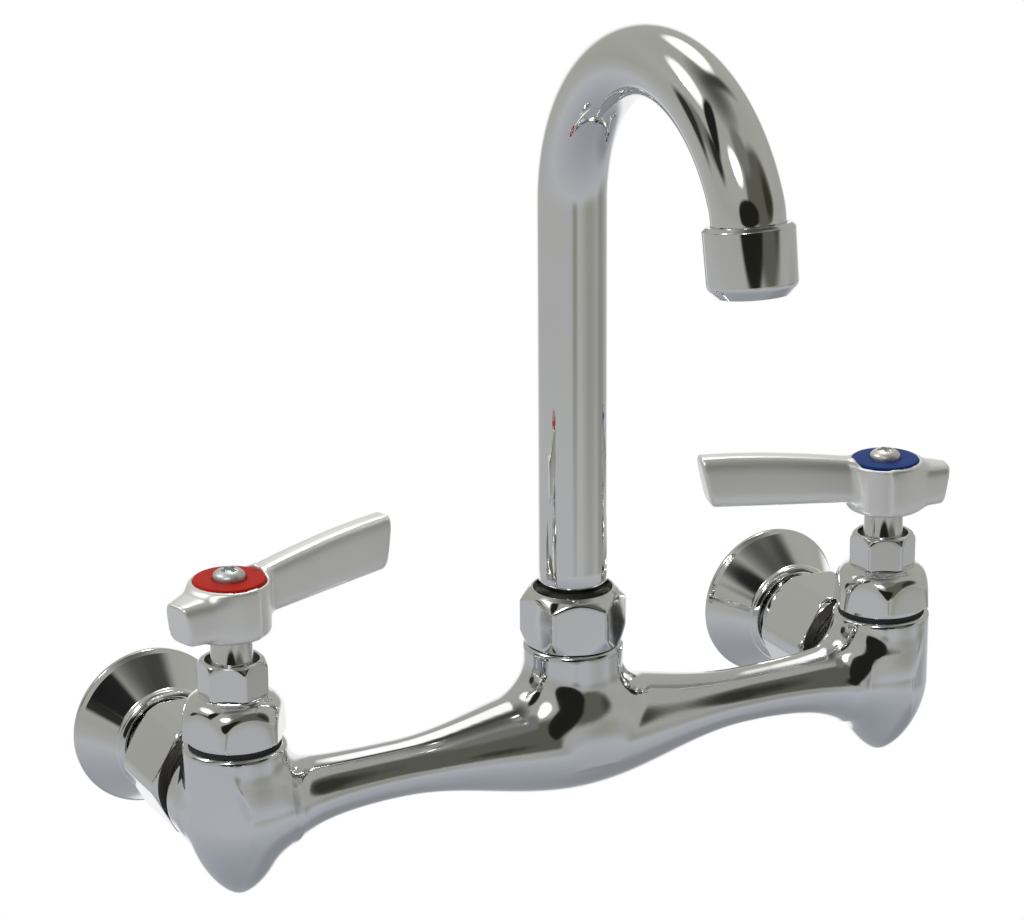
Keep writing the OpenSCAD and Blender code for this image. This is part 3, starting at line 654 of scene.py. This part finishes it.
def make_valve(name, side):
    place = valve_frame(side)
    # Bonnet: sleeve in the barrel, collar, hexagon, domed shoulder and neck
    angles = np.radians(np.linspace(4, 76, 13))
    dome = [(8.6 + 5.6 * math.cos(t), 23.0 + 8.0 * math.sin(t), 0, 1) for t in angles]
    lathe(name + "_bonnet_turned", [
        (8.95, 14.1, 0.3), (8.95, 18.4, 0), (12.6, 18.4, 0.2), (12.6, 19.5, 0.1),
        (14.5, 19.5, 0.25, 1), (14.5, 20.2, 0.2, 1), *dome,
        (9.5, 31.1, 0.2), (7.4, 31.1, 0), (7.4, 36.2, 0.2), (6.8, 36.2, 0), (6.8, 27.1, 0),
        (5.65, 27.1, 0), (5.65, 23.9, 0), (6.55, 23.9, 0), (6.55, 14.1, 0),
    ], place, TURNED_CHROME, "body", [name + "_bonnet"], 240, 25.6, BONNET_TURN, 0.3)
    # Packing nut, with painted shade in the pit round the stem
    lathe(name + "_packing_nut_turned", [
        (9.1, 31.2, 0.3, 1), (9.6, 31.6, 0.2, 1), (9.6, 38.6, 0.9, 1), (8.6, 40.5, 0.9, 1),
        (7.5, 40.8, 0.3), (7.2, 40.5, 0.2), (7.1, 38.2, 0.2), (5.65, 38.2, 0.1), (5.65, 37.3, 0),
        (7.45, 37.3, 0), (7.45, 31.2, 0),
    ], place, TURNED_CHROME, "body", [name + "_packing_nut"], 240, 16.5, PACKING_NUT_TURN, 0.12,
        painted_shade_span=(7.3, 38.0, 40.3))
    # Index ring
    lathe(name + "_index_disc", [
        (9.6, 61.3, 0.1), (9.6, 62.9, 0.45), (4.5, 62.9, 0.3), (4.5, 61.3, 0.1),
    ], lever_frame(side), RED if side < 0 else BLUE, name + "_handle", [name + "_index_ring"], 96)


def make_stem(name, side):
    place = lever_frame(side)
    lathe(name + "_stem_turned", [
        (6.5, 12.9, 0.3), (6.5, 21.9, 0.3), (5.6, 22.4, 0), (5.6, 48.1, 0.1), (3.6, 48.1, 0),
        (3.6, 56.6, 0.3), (2.05, 56.6, 0), (2.05, 50.2, 0), (0.3, 49.4, 0), (0.3, 16.3, 0),
        (2.65, 16.3, 0), (2.65, 12.9, 0),
    ], place, TURNED_CHROME, name + "_handle", [name + "_stem"], 96)


def make_inlet(name, side):
    place = inlet_frame(side)
    # Coupling nut, with painted shade on its front face in the gap to the inlet boss
    lathe(name + "_coupling_nut_turned", [
        (15.4, 17.0, 0.3, 1), (16.7, 17.2, 0.3, 1), (17.0, 17.8, 0.5, 1), (17.0, 37.3, 0.5, 1),
        (15.9, 37.9, 0.3, 1), (9.35, 37.9, 0.2), (9.35, 34.6, 0), (11.95, 34.6, 0), (11.95, 16.8, 0.2),
    ], place, TURNED_CHROME, "body", [name + "_coupling_nut"], 240, 31.0, COUPLING_TURN, 0.12,
        painted_shade_span=(15.5, 16.5, 17.3))
    lathe(name + "_shank_turned", [
        (9.3, 31.6, 0.3), (9.3, 46.55, 0), (12.4, 46.55, 0.3), (12.4, 61.0, 0.4),
        (9.15, 61.0, 0.4), (9.15, 49.0, 0.3), (6.5, 48.0, 0), (6.5, 31.6, 0.3),
    ], place, TURNED_CHROME, "body", [name + "_inlet_shank"], 96)
    lathe(name + "_flange_spun", [
        (11.5, 45.0, 0.4), (13.6, 44.8, 1.2), (15.0, 45.8, 1.2), (15.1, 47.4, 1.6), (21.5, 58.4, 2.2),
        (22.44, 59.6, 0.8), (22.44, 61.0, 0.5), (20.9, 61.0, 0.3), (20.6, 59.6, 0.8), (13.6, 47.2, 1.0),
        (12.8, 46.5, 0.4), (11.5, 46.5, 0.3),
    ], place, TURNED_CHROME, "body", [name + "_wall_flange"], 160)


def gooseneck_path():
    """The tube's middle line as (y, z, lean), from the collar to the outlet."""
    path = [(-REACH, z, 0.0) for z in np.linspace(COLLAR_TOP, RISER_TOP, 12)]
    for a in np.radians(np.linspace(0, BEND_TURN, 78))[1:]:
        path.append((BEND_Y + BEND_R * math.cos(a), RISER_TOP + BEND_R * math.sin(a), a))
    for a in np.radians(np.linspace(BEND_TURN, BEND_TURN + NOSE_TURN, 9))[1:]:
        path.append((NOSE_Y + NOSE_R * math.cos(a), NOSE_Z + NOSE_R * math.sin(a), a))
    path.append((OUT_Y - TAIL * math.sin(OUT_TURN), OUT_Z + TAIL * math.cos(OUT_TURN), OUT_TURN))
    return path


def make_spout():
    # Spout nut, with painted shade in the pit round the tube
    lathe("spout_nut_turned", [
        (13.2, 26.8, 0.25, 1), (14.8, 30.6, 1.2, 1), (14.8, 38.8, 1.4, 1), (12.4, 41.6, 1.4, 1),
        (11.2, 42.5, 0.5), (10.9, 42.3, 0.15), (10.8, 40.6, 0.2), (9.5, 40.6, 0.1), (9.5, 38.5, 0),
        (11.25, 38.5, 0), (11.25, 26.8, 0.2),
    ], spout_frame, TURNED_CHROME, "body", ["spout_nut"], 240, 25.7, SPOUT_NUT_TURN, 0.15,
        painted_shade_span=(10.95, 40.4, 42.2))
    # Gooseneck, outside down and inside back up
    path = gooseneck_path()
    segments = 96
    ring = np.linspace(0, 2 * math.pi, segments, endpoint=False)
    verts = []
    for r, run in ((TUBE_R, path), (TUBE_BORE_R, path[::-1])):
        across, out = r * np.cos(ring), r * np.sin(ring)
        for y, z, a in run:
            verts.append(np.stack([across, y + out * math.cos(a), z + out * math.sin(a)], 1))
    faces = ring_faces(len(verts), segments)
    obj = new_object("gooseneck", np.concatenate(verts) * MM, faces, TUBE_CHROME)
    outward(obj)
    dress(obj, "spout", ["spout_tube"])
    # Aerator shell
    lathe("aerator_spun", [
        (10.6, 1.3, 0.2), (11.6, 2.2, 0.4), (11.4, 16.4, 2.4), (9.1, 18.9, 0.5),
        (7.8, 18.9, 0.3), (7.8, 17.7, 0.1), (9.45, 17.7, 0), (9.45, 1.3, 0.1),
    ], outlet_frame, TURNED_CHROME, "spout", ["aerator_shell"], 128)


# Stage

# Colours of the studio's surroundings by height, from straight down to straight up
STUDIO_TONES = [
    (0.00, (0.34, 0.36, 0.39)), (0.15, (0.43, 0.45, 0.49)), (0.30, (0.52, 0.53, 0.56)),
    (0.40, (0.46, 0.46, 0.445)), (0.52, (0.42, 0.42, 0.39)), (0.70, (0.45, 0.45, 0.42)),
    (0.94, (0.42, 0.42, 0.39)), (1.00, (0.10, 0.10, 0.09)),
]

# Windows and darker things in the room, each a soft patch: direction, half widths, softness, colour
PATCHES = [
    ((0.50, -0.80, -0.25), (0.36, 0.36, 0.12), 0.80, (0.350, 0.350, 0.310)),
    ((0.93, -0.20, -0.28), (0.16, 0.30, 0.12), 0.80, (0.310, 0.310, 0.285)),
    ((-0.33, -0.91, -0.25), (0.12, 0.16, 0.08), 0.90, (0.300, 0.285, 0.255)),
    ((0.24, -0.80, 0.36), (0.66, 0.62, 0.49), 0.12, (0.120, 0.120, 0.095)),
    ((-0.10, -0.56, 0.80), (0.26, 0.28, 0.18), 0.35, (0.200, 0.200, 0.185)),
    ((0.60, -0.71, 0.32), (0.19, 0.24, 0.32), 0.40, (0.040, 0.040, 0.030)),
    ((-0.44, -0.84, 0.15), (0.50, 0.46, 0.28), 0.12, (0.016, 0.016, 0.013)),
    ((-0.54, -0.54, 0.65), (0.20, 0.20, 0.14), 0.20, (1.60, 1.60, 1.58)),
    ((-0.89, 0.29, 0.34), (0.15, 0.24, 0.15), 0.40, (0.200, 0.200, 0.185)),
    ((-0.56, 0.36, 0.75), (0.24, 0.32, 0.14), 0.25, (1.30, 1.30, 1.27)),
    ((0.28, 0.50, 0.80), (0.24, 0.34, 0.25), 0.22, (1.30, 1.30, 1.26)),
    ((-0.82, 0.52, 0.18), (0.11, 0.15, 0.17), 0.35, (0.030, 0.030, 0.027)),
    ((-0.93, 0.06, 0.36), (0.12, 0.16, 0.13), 0.40, (0.030, 0.030, 0.027)),
    ((-0.70, -0.02, 0.68), (0.36, 0.13, 0.34), 0.20, (0.015, 0.015, 0.015)),
    ((0.32, 0.12, 0.93), (0.40, 0.10, 0.24), 0.60, (0.060, 0.060, 0.055)),
    ((0.60, 0.05, -0.80), (0.40, 0.36, 0.22), 0.50, (0.30, 0.31, 0.33)),
]

# The backdrop behind the faucet, as a patch: direction, half widths, softness
BACKDROP = (0.44, 0.84, -0.31), (0.50, 0.50, 0.50), 0.25

# Lamps: name, place in metres, width in metres, power in watts, colour
LAMPS = [
    ("front_lamp", (-1.19, -1.25, 1.49), 0.42, 7.0, (1, 1, 1)),
    ("left_lamp", (-1.28, 0.68, 1.69), 0.42, 7.0, (1, 1, 1)),
    ("back_lamp", (0.66, 0.99, 1.86), 0.42, 6.0, (1, 0.99, 0.95)),
]
LAMP_AIM = (0, -0.06, 0.06)


def soft_patch(tree, direction, centre, half, soft):
    """1 inside a soft patch of the surroundings and 0 outside it."""
    away = add(tree, "VectorMath", operation="SUBTRACT")
    away.inputs[1].default_value = centre
    link(tree, direction, away.inputs[0])
    scaled = add(tree, "VectorMath", operation="DIVIDE")
    scaled.inputs[1].default_value = half
    link(tree, away.outputs["Vector"], scaled.inputs[0])
    length = add(tree, "VectorMath", operation="LENGTH")
    link(tree, scaled.outputs["Vector"], length.inputs[0])
    edge = add(tree, "MapRange", interpolation_type="SMOOTHSTEP")
    edge.inputs["From Min"].default_value = 1 - soft
    edge.inputs["From Max"].default_value = 1 + soft
    edge.inputs["To Min"].default_value = 1
    edge.inputs["To Max"].default_value = 0
    link(tree, length.outputs["Value"], edge.inputs["Value"])
    return edge.outputs["Result"]


def combine(tree, operation, a, b):
    node = add(tree, "Math", operation=operation)
    link(tree, a, node.inputs[0])
    link(tree, b, node.inputs[1])
    return node.outputs["Value"]


def mix_shaders(tree, share, a, b):
    """Shader b by its share, and shader a for the rest."""
    node = add(tree, "MixShader")
    link(tree, share, node.inputs["Fac"])
    link(tree, a, node.inputs[1])
    link(tree, b, node.inputs[2])
    return node.outputs["Shader"]


def make_world():
    """The studio's surroundings, and a white background for the camera."""
    world = bpy.data.worlds.new("studio")
    bpy.context.scene.world = world
    world.use_nodes = True
    tree = world.node_tree
    tree.nodes.clear()
    direction = add(tree, "TexCoord").outputs["Generated"]
    split = add(tree, "SeparateXYZ")
    link(tree, direction, split.inputs["Vector"])
    height = add(tree, "MapRange")
    height.inputs["From Min"].default_value = -1
    height.inputs["From Max"].default_value = 1
    link(tree, split.outputs["Z"], height.inputs["Value"])
    light = ramp_node(tree, height.outputs["Result"], STUDIO_TONES)
    for centre, half, soft, colour in PATCHES:
        blend = add(tree, "MixRGB")
        blend.inputs["Color2"].default_value = (*colour, 1)
        link(tree, soft_patch(tree, direction, centre, half, soft), blend.inputs["Fac"])
        link(tree, light, blend.inputs["Color1"])
        light = blend.outputs["Color"]
    room = add(tree, "Background")
    link(tree, light, room.inputs["Color"])
    white = add(tree, "Background")
    white.inputs["Color"].default_value = (1, 1, 1, 1)
    # The camera sees the white everywhere, and metal and glass where it stands behind the faucet
    path = add(tree, "LightPath")
    mirrored = combine(tree, "MAXIMUM", path.outputs["Is Glossy Ray"], path.outputs["Is Transmission Ray"])
    mirrored = combine(tree, "MULTIPLY", mirrored, soft_patch(tree, direction, *BACKDROP))
    shows_white = combine(tree, "MAXIMUM", path.outputs["Is Camera Ray"], mirrored)
    surface = mix_shaders(tree, shows_white, room.outputs["Background"], white.outputs["Background"])
    link(tree, surface, add(tree, "OutputWorld").inputs["Surface"])


def make_lamps():
    for name, place, width, power, colour in LAMPS:
        data = bpy.data.lights.new(name, "AREA")
        data.shape = "DISK"
        data.size = width
        data.energy = power
        data.color = colour
        obj = bpy.data.objects.new(name, data)
        bpy.context.scene.collection.objects.link(obj)
        obj.location = place
        aim = Vector(LAMP_AIM) - Vector(place)
        obj.rotation_euler = aim.to_track_quat("-Z", "Y").to_euler()


# The floor's depth below the inlets' height, its radius and the count of its corners
FLOOR_DROP = 0.30
FLOOR_R = 6.0
FLOOR_SIDES = 64


def make_floor():
    """A plain pale floor, white to the camera and open from below and to reflections."""
    ring = np.linspace(0, 2 * math.pi, FLOOR_SIDES, endpoint=False)
    depth = np.full(FLOOR_SIDES, -FLOOR_DROP)
    verts = np.stack([FLOOR_R * np.cos(ring), FLOOR_R * np.sin(ring), depth], 1)
    mat = bpy.data.materials.new("pale_floor")
    mat.use_nodes = True
    tree = mat.node_tree
    tree.nodes.clear()
    pale = add(tree, "BsdfDiffuse")
    pale.inputs["Color"].default_value = (0.82, 0.82, 0.82, 1)
    white = add(tree, "Emission").outputs["Emission"]
    clear = add(tree, "BsdfTransparent").outputs["BSDF"]
    path = add(tree, "LightPath")
    backfacing = add(tree, "NewGeometry").outputs["Backfacing"]
    seen = mix_shaders(tree, path.outputs["Is Camera Ray"], pale.outputs["BSDF"], white)
    is_open = combine(tree, "MAXIMUM", backfacing, path.outputs["Is Glossy Ray"])
    surface = mix_shaders(tree, is_open, seen, clear)
    link(tree, surface, add(tree, "OutputMaterial").inputs["Surface"])
    new_object("floor", verts, [range(FLOOR_SIDES)], mat, False)


bpy.context.scene.view_settings.view_transform = "Standard"
aim_camera()
paint_nodes()
make_casting()
make_levers()
make_screws()
for side_name, side_sign in SIDES.items():
    make_valve(side_name, side_sign)
    make_stem(side_name, side_sign)
    make_inlet(side_name, side_sign)
make_spout()
make_world()
make_lamps()
make_floor()
